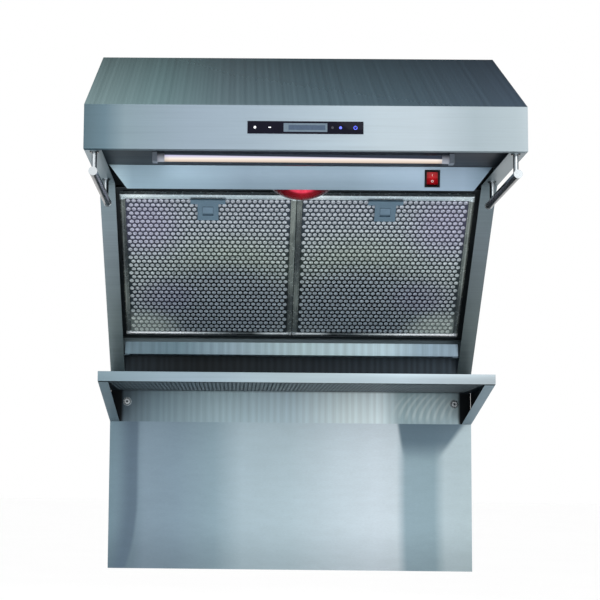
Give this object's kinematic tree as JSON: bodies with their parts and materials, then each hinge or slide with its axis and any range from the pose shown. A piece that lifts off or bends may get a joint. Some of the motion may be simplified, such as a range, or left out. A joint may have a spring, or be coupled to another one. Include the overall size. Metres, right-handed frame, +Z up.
{
  "type": "under cabinet range hood",
  "caption": "Stainless under cabinet extractor hood with sloped front, twin perforated filters, tube and heat lamps, side rails, a warming shelf and a backsplash.",
  "frame": {"origin": "centre of the four cabinet screw holes, on the outside of the flat top", "axes": "+X to the right as the cook sees the hood, +Y towards the wall, +Z up"},
  "size_m": [0.762, 0.611, 1.029],
  "materials": {
    "casing_steel": "satin brushed",
    "canopy_steel": "satin brushed",
    "panel_steel": "satin brushed",
    "shelf_steel": "satin brushed",
    "splash_steel": "satin brushed",
    "trough_steel": "satin brushed",
    "filter_trim": "polished",
    "filter_sheet": "perforated, satin",
    "filter_pad": "expanded mesh",
    "latch_plastic": "fine grain",
    "slider_plastic": "fine grain",
    "chrome_rail": "polished",
    "bolt_chrome": "polished",
    "screw_zinc": "bright zinc",
    "lamp_diffuser": "frosted",
    "holder_plastic": "gloss",
    "lamp_red_glass": "ruby",
    "socket_ceramic": "glazed",
    "control_black": "gloss black",
    "display_grey": "liquid crystal",
    "board_green": "solder mask",
    "switch_black": "semi gloss",
    "switch_red": "translucent red",
    "galvanised": "zinc coated",
    "wheel_metal": "satin",
    "motor_metal": "painted",
    "collar_metal": "zinc coated",
    "black_plastic": "fine grain"
  },
  "bodies": {
    "casing": {"front_panel": "casing_steel", "top_panel": "casing_steel", "back_panel": "casing_steel", "side_panel_left": "casing_steel", "side_panel_right": "casing_steel", "canopy_ceiling": "canopy_steel", "lamp_bay": "canopy_steel", "filter_seat": "canopy_steel", "filter_cradle": "canopy_steel", "switch_panel": "panel_steel", "shelf_tray": "shelf_steel", "shelf_bracket_left": "shelf_steel", "shelf_bracket_right": "shelf_steel", "shelf_back_plate": "shelf_steel", "backsplash": "splash_steel", "trough_ledges": "trough_steel", "utensil_rail_left": "chrome_rail", "utensil_rail_right": "chrome_rail", "rail_posts": "chrome_rail", "rail_end_caps": "chrome_rail", "shelf_bolts": "bolt_chrome", "casing_screws": "screw_zinc", "collar_screws": "screw_zinc", "lamp_tube": "lamp_diffuser", "lamp_end_holders": "holder_plastic", "heat_lamp_bulb": "lamp_red_glass", "heat_lamp_socket": "socket_ceramic", "control_glass": "control_black", "display_module": "display_grey", "control_board": "board_green", "switch_bezel": "switch_black", "blower_scroll_left": "galvanised", "blower_scroll_right": "galvanised", "exhaust_plenum": "galvanised", "motor_hanger": "galvanised", "heat_lamp_bracket": "galvanised", "junction_box": "galvanised", "blower_motor": "motor_metal", "duct_collar": "collar_metal", "damper_pin": "collar_metal", "cable_gland": "black_plastic", "lamp_driver": "black_plastic", "control_housing": "black_plastic"},
    "rocker": {"switch_rocker": "switch_red"},
    "filter_left": {"filter_frame_left": "filter_trim", "filter_face_left": "filter_sheet", "filter_mesh_left": "filter_pad", "filter_latch_left": "latch_plastic"},
    "latch_left": {"latch_slider_left": "slider_plastic"},
    "filter_right": {"filter_frame_right": "filter_trim", "filter_face_right": "filter_sheet", "filter_mesh_right": "filter_pad", "filter_latch_right": "latch_plastic"},
    "latch_right": {"latch_slider_right": "slider_plastic"},
    "trough": {"grease_trough": "trough_steel"},
    "fan_rotor": {"motor_shaft": "motor_metal", "impeller_left": "wheel_metal", "impeller_right": "wheel_metal"},
    "damper_left": {"damper_flap_left": "collar_metal"},
    "damper_right": {"damper_flap_right": "collar_metal"}
  },
  "joints": [
    {"name": "switch_rock", "type": "hinge", "parent": "casing", "child": "rocker", "pos_m": [0.243, -0.27518, -0.26542], "axis": [1, 0, 0], "range_deg": [0, 16]},
    {"name": "filter_tilt_left", "type": "hinge", "parent": "casing", "child": "filter_left", "pos_m": [0, 0.09441, -0.51577], "axis": [1, 0, 0], "range_deg": [0, 30]},
    {"name": "latch_slide_left", "type": "slide", "parent": "filter_left", "child": "latch_left", "axis": [0, 0.6823, -0.7311], "range_m": [0, 0.005], "stiffness_N_per_m": 300, "springref_m": -0.004},
    {"name": "filter_tilt_right", "type": "hinge", "parent": "casing", "child": "filter_right", "pos_m": [0, 0.09441, -0.51577], "axis": [1, 0, 0], "range_deg": [0, 30]},
    {"name": "latch_slide_right", "type": "slide", "parent": "filter_right", "child": "latch_right", "axis": [0, 0.6823, -0.7311], "range_m": [0, 0.005], "stiffness_N_per_m": 300, "springref_m": -0.004},
    {"name": "trough_slide", "type": "slide", "parent": "casing", "child": "trough", "axis": [0, -1, 0], "range_m": [0, 0.1]},
    {"name": "fan_spin", "type": "hinge", "parent": "casing", "child": "fan_rotor", "pos_m": [0, 0.003, -0.17], "axis": [1, 0, 0], "continuous": true},
    {"name": "damper_hinge_left", "type": "hinge", "parent": "casing", "child": "damper_left", "pos_m": [0, 0, 0.0095], "axis": [0, 1, 0], "range_deg": [0, 78]},
    {"name": "damper_hinge_right", "type": "hinge", "parent": "casing", "child": "damper_right", "pos_m": [0, 0, 0.0095], "axis": [0, -1, 0], "range_deg": [0, 78]}
  ]
}
